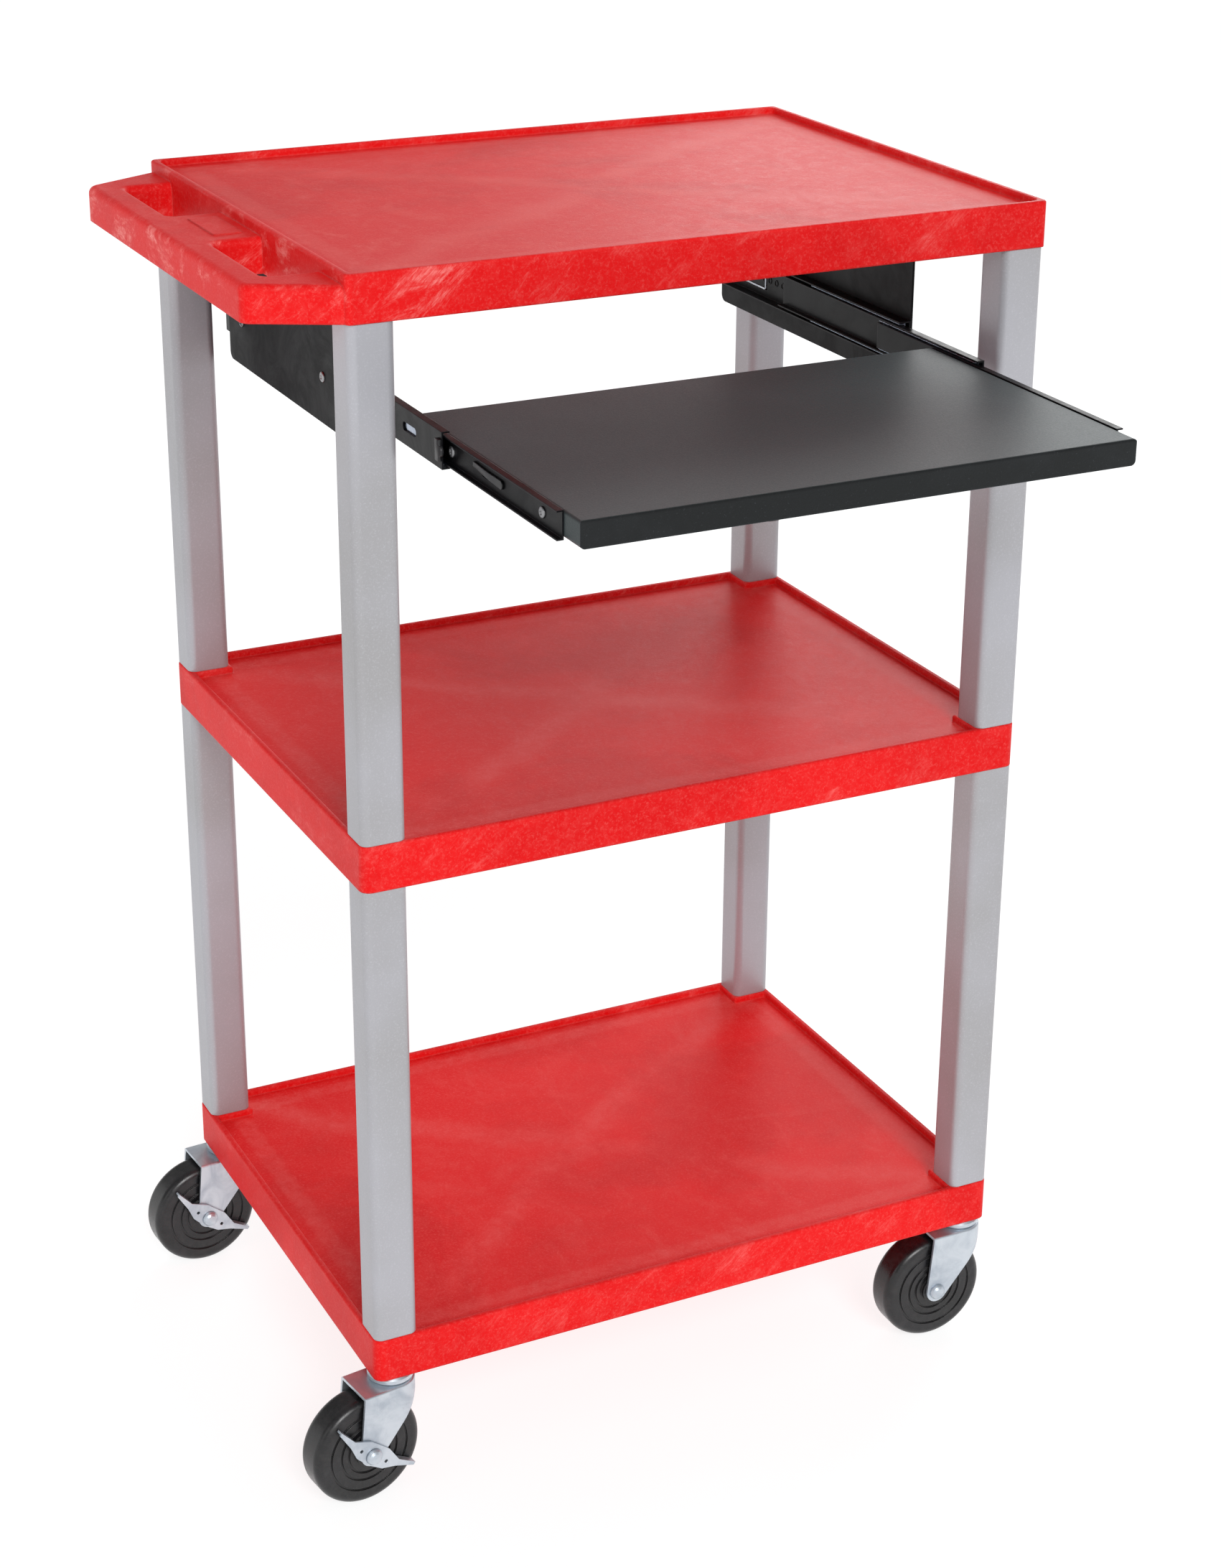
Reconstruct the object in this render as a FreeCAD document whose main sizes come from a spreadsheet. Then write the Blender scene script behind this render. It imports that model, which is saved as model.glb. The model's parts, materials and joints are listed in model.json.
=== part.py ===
import FreeCAD, Part
import math
import os

import Sketcher
from FreeCAD import Rotation, Vector

# A three-shelf utility cart: moulded shelves on tube legs, swivel casters under the corners, a push
# handle moulded into the top shelf, and a sheet-metal tray on ball slides below that shelf.
# +X runs towards the end opposite the handle, -Y towards the side where the tray comes out, +Z up.
# Sub-parts are drawn about the middle of the shelves and moved so that the origin is on the floor,
# under the middle of the cart's box.

doc = FreeCAD.newDocument("utility_cart")
sheet = doc.addObject("Spreadsheet::Sheet", "Sizes")
ready = []


# ---- sizes -------------------------------------------------------------------------------------

class Size:
    """A length or angle that carries its value and the sheet expression that drives it."""

    def __init__(self, value, text):
        self.value = value
        self.text = text

    def __add__(self, other):
        other = as_size(other)
        return Size(self.value + other.value, f"({self.text} + {other.text})")

    def __sub__(self, other):
        other = as_size(other)
        return Size(self.value - other.value, f"({self.text} - {other.text})")

    def __mul__(self, other):
        other = as_size(other)
        return Size(self.value * other.value, f"({self.text} * {other.text})")

    def __truediv__(self, other):
        other = as_size(other)
        return Size(self.value / other.value, f"({self.text} / {other.text})")

    def __neg__(self):
        return Size(-self.value, f"(0 - {self.text})")


def as_size(number):
    """A Size made of a plain number, or the Size itself."""
    if isinstance(number, Size):
        return number
    return Size(float(number), f"{float(number)}")


def cosine(angle):
    """Cosine of a Size in degrees."""
    return Size(math.cos(math.radians(angle.value)), f"cos({angle.text} * 1deg)")


def sine(angle):
    """Sine of a Size in degrees."""
    return Size(math.sin(math.radians(angle.value)), f"sin({angle.text} * 1deg)")


def cell(alias, value):
    """Write one driving dimension into the sheet and return it as a Size."""
    row = len(ready) + 1
    ready.append(alias)
    sheet.set(f"A{row}", alias)
    sheet.set(f"B{row}", str(value))
    sheet.setAlias(f"B{row}", alias)
    return Size(float(value), f"Sizes.{alias}")


shelf_length = cell("shelfLength", 609.6)
shelf_depth = cell("shelfDepth", 457.2)
shelf_height = cell("shelfHeight", 40)
top_shelf_height = cell("topShelfHeight", 38)
shelf_pitch = cell("shelfPitch", 457.2)
lip_height = cell("lipHeight", 6)
lip_width = cell("lipWidth", 6)
deck_thickness = cell("deckThickness", 5)
skirt_thickness = cell("skirtThickness", 5)
rib_thickness = cell("ribThickness", 4)
rib_setback = cell("ribSetback", 3)
rib_pitch = cell("ribPitch", 101.6)
long_rib_pitch = cell("longRibPitch", 91.4)
corner_radius = cell("cornerRadius", 9)
top_corner_radius = cell("topCornerRadius", 5)
edge_radius = cell("edgeRadius", 2)
deck_corner_radius = cell("deckCornerRadius", 6)
pad_corner_radius = cell("padCornerRadius", 1.5)
pad_margin = cell("padMargin", 2)

leg_width = cell("legWidth", 38)
leg_depth = cell("legDepth", 37)
leg_inset = cell("legInset", 0.8)
leg_radius = cell("legRadius", 7)
leg_wall = cell("legWall", 2.5)
plug_length = cell("plugLength", 25)
plug_gap = cell("plugGap", 0.2)

handle_reach = cell("handleReach", 67.2)
handle_height = cell("handleHeight", 29)
handle_bar = cell("handleBar", 26)
handle_tip_inset = cell("handleTipInset", 38)
handle_root_inset = cell("handleRootInset", 4)
handle_corner_radius = cell("handleCornerRadius", 11)
handle_edge_radius = cell("handleEdgeRadius", 6)
grip_inner = cell("gripInner", 51)
grip_outer = cell("gripOuter", 170)
grip_corner_radius = cell("gripCornerRadius", 7)
bridge_panel_length = cell("bridgePanelLength", 62)
bridge_panel_width = cell("bridgePanelWidth", 24)
bridge_panel_height = cell("bridgePanelHeight", 1)

wheel_radius = cell("wheelRadius", 50.8)
wheel_width = cell("wheelWidth", 30)
wheel_gap = cell("wheelGap", 4.4)
caster_trail = cell("casterTrail", 31)
fork_width = cell("forkWidth", 42)
fork_sheet = cell("forkSheet", 2.5)
fork_back = cell("forkBack", 36)
fork_tip_radius = cell("forkTipRadius", 10.5)
fork_throat = cell("forkThroat", 11)
fork_throat_drop = cell("forkThroatDrop", 23)
fork_brow = cell("forkBrow", 18.5)
fork_brow_drop = cell("forkBrowDrop", 10.5)
fork_nose_drop = cell("forkNoseDrop", 5.5)
fork_top_round = cell("forkTopRound", 2)
fork_tip_forward = cell("forkTipForward", 8.4)
fork_tip_drop = cell("forkTipDrop", 6.3)
cup_height = cell("cupHeight", 8.5)
cup_radius = cell("cupRadius", 20)
cup_bevel = cell("cupBevel", 2.5)
stem_radius = cell("stemRadius", 5.5)
stem_length = cell("stemLength", 32)
stem_chamfer = cell("stemChamfer", 1)
kingpin_radius = cell("kingpinRadius", 5)
kingpin_head = cell("kingpinHead", 3)
axle_radius = cell("axleRadius", 4)
axle_head_radius = cell("axleHeadRadius", 7.6)
axle_head_height = cell("axleHeadHeight", 5)
axle_stub = cell("axleStub", 1)
nut_height = cell("nutHeight", 6.5)
nut_radius = cell("nutRadius", 7.5)
bushing_radius = cell("bushingRadius", 7)
hub_radius = cell("hubRadius", 13)
shoulder_radius = cell("shoulderRadius", 7)
groove_depth = cell("grooveDepth", 1.5)
groove_width = cell("grooveWidth", 2.4)
hub_groove = cell("hubGroove", 18.5)
middle_groove = cell("middleGroove", 25.5)
outer_groove = cell("outerGroove", 35.5)
running_gap = cell("runningGap", 0.05)
side_gap = cell("sideGap", 0.4)
lever_sheet = cell("leverSheet", 2)
lever_reach = cell("leverReach", 45)
lever_wing = cell("leverWing", 27)
lever_shoulder = cell("leverShoulder", 11)
lever_rise = cell("leverRise", 5.5)
lever_tip = cell("leverTip", 3)
lever_radius = cell("leverRadius", 2.5)
lever_hole_radius = cell("leverHoleRadius", 1.6)
lever_hole_side = cell("leverHoleSide", 15)
lever_belly = cell("leverBelly", 9)
lever_belly_side = cell("leverBellySide", 15.4)
lever_belly_rise = cell("leverBellyRise", 7.2)
lever_underside = cell("leverUnderside", 1)
lever_hump = cell("leverHump", 11)
lever_flange = cell("leverFlange", 7)
lever_tilt = cell("leverTilt", 39)
turn_front_left = cell("turnFrontLeft", 8)
turn_back_left = cell("turnBackLeft", 4)
turn_front_right = cell("turnFrontRight", 0)
turn_back_right = cell("turnBackRight", 0)

tray_depth = cell("trayDepth", 290)
tray_height = cell("trayHeight", 20.6)
tray_sheet = cell("traySheet", 1.5)
tray_drop = cell("trayDrop", 88)
tray_pull = cell("trayPull", 240)
tray_corner_radius = cell("trayCornerRadius", 4)
tray_bend = cell("trayBend", 2.2)
tray_screw_front = cell("trayScrewFront", 58)
tray_screw_back = cell("trayScrewBack", 217.5)
slide_thickness = cell("slideThickness", 12.7)
slide_sheet = cell("slideSheet", 1.2)
inner_height = cell("innerHeight", 22)
inner_width = cell("innerWidth", 5.5)
middle_web = cell("middleWeb", 8)
middle_tip = cell("middleTip", 1.4)
outer_tip = cell("outerTip", 2)
middle_shortening = cell("middleShortening", 20)
middle_lead = cell("middleLead", 2)
slide_setback = cell("slideSetback", 104)
slide_back_gap = cell("slideBackGap", 3.2)
slot_setback = cell("slotSetback", 50)
slot_length = cell("slotLength", 26)
slot_width = cell("slotWidth", 7)
slot_round = cell("slotRound", 3)
inner_slot_setback = cell("innerSlotSetback", 112)
inner_setback = cell("innerSetback", 26)
strip_length = cell("stripLength", 150)
strip_lead = cell("stripLead", 5)
inner_strip_tip = cell("innerStripTip", 2.2)
outer_strip_tip = cell("outerStripTip", 3.3)
ball_radius = cell("ballRadius", 1.1)
ball_clearance = cell("ballClearance", 0.3)
retainer_sheet = cell("retainerSheet", 0.6)
ball_pitch = cell("ballPitch", 11.4)
bracket_leg_gap = cell("bracketLegGap", 20.3)
bracket_back_gap = cell("bracketBackGap", 17.2)
bracket_height = cell("bracketHeight", 141)
bracket_sheet = cell("bracketSheet", 2)
bracket_flange = cell("bracketFlange", 28)
bracket_radius = cell("bracketRadius", 7)
bracket_screw_inset = cell("bracketScrewInset", 33.6)
slide_screw_front = cell("slideScrewFront", 107.5)
slide_screw_inset = cell("slideScrewInset", 33.6)
screw_radius = cell("screwRadius", 2)
screw_head_radius = cell("screwHeadRadius", 4.5)
screw_head_height = cell("screwHeadHeight", 2)
screw_dome = cell("screwDome", 1.4)
screw_grip = cell("screwGrip", 12)
screw_end = cell("screwEnd", 1)
knob_radius = cell("knobRadius", 13)
knob_length = cell("knobLength", 28)
knob_post_radius = cell("knobPostRadius", 6)
knob_base_radius = cell("knobBaseRadius", 10.5)
knob_neck = cell("knobNeck", 15.5)
knob_rim = cell("knobRim", 1.5)
knob_side = cell("knobSide", 66)
knob_setback = cell("knobSetback", 34)

half_length = shelf_length / 2
half_depth = shelf_depth / 2
leg_x = half_length - leg_inset - leg_width / 2
leg_y = half_depth - leg_inset - leg_depth / 2
pad_x = half_length - leg_inset - leg_width - pad_margin
pad_y = half_depth - leg_inset - leg_depth - pad_margin
caster_height = wheel_radius * 2 + wheel_gap + fork_sheet + cup_height
bottom_level = caster_height
middle_level = bottom_level + shelf_pitch
top_level = middle_level + shelf_pitch + shelf_height - top_shelf_height
tray_front = -(half_depth + tray_pull)
tray_top = top_level - tray_drop
slide_middle = tray_top - tray_height / 2
slide_front = -(half_depth - slide_setback)
middle_front = slide_front - middle_lead - tray_pull / 2
inner_front = tray_front + inner_setback
bracket_outer = half_length - leg_inset - leg_width - bracket_leg_gap
half_tray = bracket_outer - bracket_sheet - slide_thickness
slide_length = shelf_depth - slide_setback - slide_back_gap
middle_length = slide_length - middle_shortening
bracket_length = shelf_depth - slide_setback - bracket_back_gap
row_gap = ball_radius * 2 + ball_clearance
middle_height = inner_height + (row_gap + slide_sheet) * 2
outer_height = middle_height + (row_gap + slide_sheet) * 2
fork_top = caster_height - cup_height
fork_side = fork_width / 2
axle_back = fork_side + nut_height + axle_stub
rail_level = top_level + rib_setback
tray_screw_places = [tray_screw_front, tray_screw_back]
bracket_screw_places = [bracket_screw_inset, bracket_length / 2, bracket_length - bracket_screw_inset]
slide_screw_places = [slide_screw_front, bracket_length - slide_screw_inset]
bracket_screw_length = bracket_sheet + screw_grip
slide_screw_length = bracket_sheet + slide_sheet + screw_end
tray_screw_length = slide_sheet + tray_sheet + screw_end
shift_x = (half_length + handle_reach - leg_x - fork_side) / 2
shift_y = (half_depth + tray_pull - leg_y - axle_back) / 2


# ---- ways to draw ------------------------------------------------------------------------------

def new_body(name):
    """An empty body whose Label is the node's name."""
    body = doc.addObject("PartDesign::Body", name)
    body.Label = name
    return body


def plane(body, role):
    """One of a body's own origin planes."""
    return [item for item in body.Origin.OriginFeatures if item.Role == role][0]


def new_sketch(body, name, role="XY_Plane", offset=None):
    """A sketch on an origin plane, raised along the plane's normal by an offset."""
    sketch = body.newObject("Sketcher::SketchObject", f"{body.Name}_{name}")
    sketch.AttachmentSupport = [(plane(body, role), "")]
    sketch.MapMode = "FlatFace"
    if offset is not None:
        sketch.setExpression(".AttachmentOffset.Base.z", offset.text)
    return sketch


def tie(sketch, point, sizes):
    """Hold one point of a sketch at a pair of Sizes."""
    for axis, size in zip(("DistanceX", "DistanceY"), sizes):
        number = sketch.addConstraint(Sketcher.Constraint(axis, *point, size.value))
        sketch.setExpression(f"Constraints[{number}]", size.text)


def outline(sketch, points):
    """A closed outline of straight lines through pairs of Sizes."""
    points = [(as_size(across), as_size(along)) for across, along in points]
    first = sketch.GeometryCount
    count = len(points)
    vectors = [Vector(across.value, along.value, 0) for across, along in points]
    followers = [(index + 1) % count for index in range(count)]
    sketch.addGeometry([Part.LineSegment(vectors[index], vectors[after])
                        for index, after in enumerate(followers)], False)
    sketch.addConstraint([Sketcher.Constraint("Coincident", first + index, 2, first + after, 1)
                          for index, after in enumerate(followers)])
    for index, point in enumerate(points):
        tie(sketch, (first + index, 1), point)


def rectangle(sketch, left, right, low, high):
    """A rectangle between two pairs of Sizes."""
    outline(sketch, [(left, low), (right, low), (right, high), (left, high)])


def circle(sketch, across, along, radius):
    """A circle whose centre and radius are Sizes."""
    across, along, radius = as_size(across), as_size(along), as_size(radius)
    ring = Part.Circle(Vector(across.value, along.value, 0), Vector(0, 0, 1), radius.value)
    number = sketch.addGeometry(ring)
    tie(sketch, (number, 3), (across, along))
    index = sketch.addConstraint(Sketcher.Constraint("Radius", number, radius.value))
    sketch.setExpression(f"Constraints[{index}]", radius.text)


def pad(body, sketch, length, reverse=False, both=False):
    """Extrude a sketch by a Size, along its normal unless reversed."""
    feature = body.newObject("PartDesign::Pad", sketch.Name + "_pad")
    feature.Profile = sketch
    feature.setExpression("Length", as_size(length).text)
    feature.Reversed = reverse
    feature.Midplane = both
    doc.recompute()
    return feature


def pocket(body, sketch, depth=None, reverse=False, both=False):
    """Cut a sketch out of the body, to a depth or through everything."""
    feature = body.newObject("PartDesign::Pocket", sketch.Name + "_pocket")
    feature.Profile = sketch
    if depth is None:
        feature.Type = "ThroughAll"
    else:
        feature.setExpression("Length", as_size(depth).text)
    feature.Reversed = reverse
    feature.Midplane = both
    before = feature.BaseFeature.Shape.Volume
    doc.recompute()
    if feature.Shape.Volume >= before:
        raise RuntimeError(f"{feature.Name} cuts nothing")
    return feature


def round_edges(body, name, radius, test):
    """Round the edges of the body's last feature that pass a test."""
    base = body.Tip
    names = [f"Edge{number}" for number, edge in enumerate(base.Shape.Edges, 1) if test(edge)]
    feature = body.newObject("PartDesign::Fillet", f"{body.Name}_{name}")
    feature.Base = (base, names)
    feature.setExpression("Radius", radius.text)
    doc.recompute()
    if "Invalid" in feature.State or feature.Shape.isNull():
        raise RuntimeError(f"{feature.Name} cannot be rounded")
    return feature


def middle_of(edge):
    """The point half-way along an edge."""
    return edge.valueAt((edge.FirstParameter + edge.LastParameter) / 2)


def is_upright(edge):
    """Whether an edge is a straight line along Z."""
    start, end = edge.Vertexes[0].Point, edge.Vertexes[-1].Point
    return abs(start.x - end.x) < 0.01 and abs(start.y - end.y) < 0.01 and abs(start.z - end.z) > 0.5


def is_level(edge, height):
    """Whether both ends and the middle of an edge lie at one height."""
    points = [vertex.Point for vertex in edge.Vertexes] + [middle_of(edge)]
    return all(abs(point.z - height.value) < 0.01 for point in points)


def revolve(body, sketch):
    """Turn a sketch all the way about its own vertical axis."""
    feature = body.newObject("PartDesign::Revolution", sketch.Name + "_turn")
    feature.Profile = sketch
    feature.ReferenceAxis = (sketch, ["V_Axis"])
    feature.Angle = 360
    doc.recompute()
    return feature


def place(item, across=0, along=0, up=0, turn=None):
    """Put a sub-part at its place in the cart's frame, turned about +Z."""
    if turn is not None:
        item.Placement = FreeCAD.Placement(Vector(0, 0, 0), Rotation(Vector(0, 0, 1), turn.value))
        item.setExpression("Placement.Rotation.Angle", f"{turn.text} * 1deg")
    item.setExpression("Placement.Base.x", (as_size(across) + shift_x).text)
    item.setExpression("Placement.Base.y", (as_size(along) + shift_y).text)
    item.setExpression("Placement.Base.z", as_size(up).text)
    return item


# ---- shelves -----------------------------------------------------------------------------------

def cross_outline(sketch, margin):
    """A plus-shaped outline inside the shelf that leaves its four corner pads standing."""
    out_x, out_y = half_length - margin, half_depth - margin
    outline(sketch, [(-out_x, -pad_y), (-pad_x, -pad_y), (-pad_x, -out_y), (pad_x, -out_y),
                     (pad_x, -pad_y), (out_x, -pad_y), (out_x, pad_y), (pad_x, pad_y),
                     (pad_x, out_y), (-pad_x, out_y), (-pad_x, pad_y), (-out_x, pad_y)])


def add_plugs(body, name, height, upwards):
    """Moulded plugs that fill the ends of the tube legs, bevelled to clear the tubes' round corners."""
    sketch = new_sketch(body, name, offset=as_size(height))
    gap = leg_wall + plug_gap
    bevel = leg_radius - leg_wall
    plug_x, plug_y = leg_width / 2 - gap, leg_depth / 2 - gap
    short_x, short_y = plug_x - bevel, plug_y - bevel
    for side in (-1, 1):
        for end in (-1, 1):
            outline(sketch, [(leg_x * side + across, leg_y * end + along) for across, along in (
                (-plug_x, -short_y), (-short_x, -plug_y), (short_x, -plug_y), (plug_x, -short_y),
                (plug_x, short_y), (short_x, plug_y), (-short_x, plug_y), (-plug_x, short_y))])
    pad(body, sketch, plug_length, reverse=not upwards)


def add_ribs(body, height, ribs):
    """Ribs under the deck: the given ones run the depth of the shelf, four more its length."""
    reach_x, reach_y = half_length - skirt_thickness / 2, half_depth - skirt_thickness / 2
    depth = height - lip_height - deck_thickness - rib_setback
    sketch = new_sketch(body, "rib_outline", offset=rib_setback)
    for middle, thickness in ribs:
        rectangle(sketch, middle - thickness / 2, middle + thickness / 2, -reach_y, reach_y)
    pad(body, sketch, depth)
    sketch = new_sketch(body, "long_rib_outline", offset=rib_setback)
    for number in (-1.5, -0.5, 0.5, 1.5):
        middle = long_rib_pitch * number
        rectangle(sketch, -reach_x, reach_x, middle - rib_thickness / 2, middle + rib_thickness / 2)
    pad(body, sketch, depth)


def cross_ribs(count):
    """Evenly spaced ribs about the middle of the shelf, as pairs of place and thickness."""
    return [(rib_pitch * (number - (count - 1) / 2), rib_thickness) for number in range(count)]


def moulded_shelf(name, height, radius, ribs, with_pads):
    """One shelf: a skirted plate with a lipped deck, and corner blocks and ribs underneath."""
    body = new_body(name)
    sketch = new_sketch(body, "plate_outline")
    rectangle(sketch, -half_length, half_length, -half_depth, half_depth)
    pad(body, sketch, height)
    round_edges(body, "corner_round", radius, is_upright)
    sketch = new_sketch(body, "deck_outline", offset=height)
    if with_pads:
        cross_outline(sketch, lip_width)
        inner_radius = pad_corner_radius
    else:
        rectangle(sketch, lip_width - half_length, half_length - lip_width,
                  lip_width - half_depth, half_depth - lip_width)
        inner_radius = deck_corner_radius
    pocket(body, sketch, lip_height)
    inner_x, inner_y = half_length - lip_width / 2, half_depth - lip_width / 2
    round_edges(body, "deck_corner_round", inner_radius,
                lambda edge: is_upright(edge) and abs(middle_of(edge).x) < inner_x.value
                and abs(middle_of(edge).y) < inner_y.value)
    round_edges(body, "lip_round", edge_radius, lambda edge: is_level(edge, height))
    sketch = new_sketch(body, "hollow_outline")
    cross_outline(sketch, skirt_thickness)
    pocket(body, sketch, height - lip_height - deck_thickness, reverse=True)
    add_ribs(body, height, ribs)
    return body


def top_shelf():
    """The top shelf with its push handle, plugs below, and rails that carry the tray's brackets."""
    rail = bracket_outer - bracket_flange / 2
    rails = [(rail, bracket_flange), (-rail, bracket_flange)]
    body = moulded_shelf("top_shelf", top_shelf_height, top_corner_radius, cross_ribs(3) + rails, False)
    tip = half_length + handle_reach
    root_y, tip_y = half_depth - handle_root_inset, half_depth - handle_tip_inset
    inside = half_length - skirt_thickness / 2
    sketch = new_sketch(body, "handle_outline")
    outline(sketch, [(-inside, root_y), (-half_length, root_y), (-tip, tip_y),
                     (-tip, -tip_y), (-half_length, -root_y), (-inside, -root_y)])
    pad(body, sketch, handle_height)
    sketch = new_sketch(body, "grip_outline")
    for side in (-1, 1):
        rectangle(sketch, -tip + handle_bar, -half_length, grip_inner * side, grip_outer * side)
    pocket(body, sketch, reverse=True)
    round_edges(body, "handle_corner_round", handle_corner_radius,
                lambda edge: is_upright(edge) and abs(middle_of(edge).x + tip.value) < 0.01)
    round_edges(body, "grip_corner_round", grip_corner_radius,
                lambda edge: is_upright(edge) and abs(middle_of(edge).x + (tip - handle_bar).value) < 0.01)
    round_edges(body, "handle_top_round", handle_edge_radius,
                lambda edge: is_level(edge, handle_height) and middle_of(edge).x < -half_length.value - 0.01)
    sketch = new_sketch(body, "bridge_panel_outline", offset=handle_height)
    middle = -half_length - (handle_reach - handle_bar) / 2
    rectangle(sketch, middle - bridge_panel_width / 2, middle + bridge_panel_width / 2,
              -bridge_panel_length / 2, bridge_panel_length / 2)
    pad(body, sketch, bridge_panel_height)
    add_plugs(body, "plug_outline", 0, upwards=False)
    for number, along in enumerate(bracket_screw_places):
        for side in (-1, 1):
            drill(body, f"rail_hole_{number}_{side}", "XY_Plane", (rail * side, slide_front + along),
                  screw_radius + running_gap, 0, bracket_screw_length + rib_setback)
    return place(body, up=top_level)


def middle_shelf():
    """The middle shelf with plugs above and below."""
    body = moulded_shelf("middle_shelf", shelf_height, corner_radius, cross_ribs(5), True)
    add_plugs(body, "upper_plug_outline", shelf_height, upwards=True)
    add_plugs(body, "lower_plug_outline", 0, upwards=False)
    return place(body, up=middle_level)


def bottom_shelf():
    """The bottom shelf with plugs above and a socket for a caster's stem in each corner."""
    body = moulded_shelf("bottom_shelf", shelf_height, corner_radius, cross_ribs(5), True)
    add_plugs(body, "upper_plug_outline", shelf_height, upwards=True)
    sketch = new_sketch(body, "socket_outline")
    for side in (-1, 1):
        for end in (-1, 1):
            circle(sketch, leg_x * side, leg_y * end, stem_radius + running_gap)
    pocket(body, sketch, stem_length + side_gap, reverse=True)
    return place(body, up=bottom_level)


# ---- legs --------------------------------------------------------------------------------------

def leg(name, side, end, level, length):
    """A rounded square tube that stands between two shelves."""
    body = new_body(name)
    sketch = new_sketch(body, "outline")
    rectangle(sketch, -leg_width / 2, leg_width / 2, -leg_depth / 2, leg_depth / 2)
    pad(body, sketch, length)
    round_edges(body, "corner_round", leg_radius, is_upright)
    sketch = new_sketch(body, "bore_outline")
    bore_x, bore_y = leg_width / 2 - leg_wall, leg_depth / 2 - leg_wall
    rectangle(sketch, -bore_x, bore_x, -bore_y, bore_y)
    pocket(body, sketch, reverse=True)
    round_edges(body, "bore_round", leg_radius - leg_wall,
                lambda edge: is_upright(edge) and abs(abs(middle_of(edge).x) - bore_x.value) < 0.01
                and abs(abs(middle_of(edge).y) - bore_y.value) < 0.01)
    return place(body, leg_x * side, leg_y * end, level)


# ---- tray on its slides ------------------------------------------------------------------------

def is_along(edge, axis):
    """Whether an edge is a straight line along one axis, given as x, y or z."""
    step = edge.Vertexes[-1].Point - edge.Vertexes[0].Point
    return abs(getattr(step, axis)) > 0.5 and abs(abs(getattr(step, axis)) - step.Length) < 0.01


def tray():
    """A folded sheet tray, hollow underneath."""
    body = new_body("tray")
    sketch = new_sketch(body, "outline")
    rectangle(sketch, -half_tray, half_tray, 0, tray_depth)
    pad(body, sketch, tray_height)
    round_edges(body, "lower_corner_round", tray_corner_radius,
                lambda edge: is_along(edge, "y") and abs(middle_of(edge).z) < 0.01)
    round_edges(body, "bend_round", tray_bend, lambda edge: is_level(edge, tray_height))
    sketch = new_sketch(body, "hollow_outline")
    inside = half_tray - tray_sheet
    rectangle(sketch, -inside, inside, tray_sheet, tray_depth - tray_sheet)
    pocket(body, sketch, tray_height - tray_sheet, reverse=True)
    for side in (-1, 1):
        for number, along in enumerate(tray_screw_places):
            drill(body, f"screw_hole_{number}_{side}", "YZ_Plane", (along, tray_height / 2),
                  screw_radius + running_gap, half_tray * side - tray_sheet, tray_sheet * 2)
    return place(body, 0, tray_front, tray_top - tray_height)


def drill(body, name, role, centre, radius, start, depth):
    """A round hole along a plane's normal, from one distance along it to another."""
    sketch = new_sketch(body, name.replace("-", "m"), role, as_size(start))
    circle(sketch, centre[0], centre[1], radius)
    pocket(body, sketch, depth, reverse=True)


def channel(name, side, web, tip, height, length, front, holes, slot_from):
    """A slide member: a C-section that runs along Y, its web and flange tips counted from the tray."""
    body = new_body(name)
    inward = slide_sheet if tip.value > web.value else -slide_sheet
    top, low = height / 2, -height / 2
    section = [(tip, top), (web, top), (web, low), (tip, low), (tip, low + slide_sheet),
               (web + inward, low + slide_sheet), (web + inward, top - slide_sheet), (tip, top - slide_sheet)]
    sketch = new_sketch(body, "section", "XZ_Plane")
    outline(sketch, [(across * side, up) for across, up in section])
    pad(body, sketch, length, reverse=True)
    for number, along in enumerate(holes):
        drill(body, f"screw_hole_{number}", "YZ_Plane", (along, 0), screw_radius + running_gap,
              (web + inward / 2) * side - slide_sheet, slide_sheet * 2)
    sketch = new_sketch(body, "slot_outline", "YZ_Plane", (web + inward / 2) * side - slide_sheet)
    rectangle(sketch, slot_from, slot_from + slot_length, -slot_width / 2, slot_width / 2)
    pocket(body, sketch, slide_sheet * 2, reverse=True)
    half_slot = slot_width.value / 2
    round_edges(body, "slot_round", slot_round,
                lambda edge: is_along(edge, "x") and abs(abs(middle_of(edge).z) - half_slot) < 0.01)
    return place(body, half_tray * side, front, slide_middle)


def ball_strip(name, side, web, tip, row, front):
    """A retainer strip with a row of balls above and below a slide member."""
    body = new_body(name + "_retainer")
    low, top = -row - retainer_sheet / 2, row + retainer_sheet / 2
    section = [(tip, top), (web, top), (web, low), (tip, low), (tip, low + retainer_sheet),
               (web - retainer_sheet, low + retainer_sheet), (web - retainer_sheet, top - retainer_sheet),
               (tip, top - retainer_sheet)]
    sketch = new_sketch(body, "section", "XZ_Plane")
    outline(sketch, [(across * side, up) for across, up in section])
    pad(body, sketch, strip_length, reverse=True)
    balls = []
    count = int(strip_length.value / ball_pitch.value)
    for number in range(count):
        for level in (-1, 1):
            ball = doc.addObject("Part::Sphere", f"{name}_ball")
            ball.setExpression("Radius", ball_radius.text)
            ball.setExpression("Placement.Base.x", ((tip + ball_radius) * side).text)
            ball.setExpression("Placement.Base.y", (ball_pitch * (number + 0.5)).text)
            ball.setExpression("Placement.Base.z", (row * level).text)
            balls.append(ball)
    strip = doc.addObject("Part::MultiFuse", name)
    strip.Label = name
    strip.Shapes = [body] + balls
    doc.recompute()
    return place(strip, half_tray * side, front, slide_middle)


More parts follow.
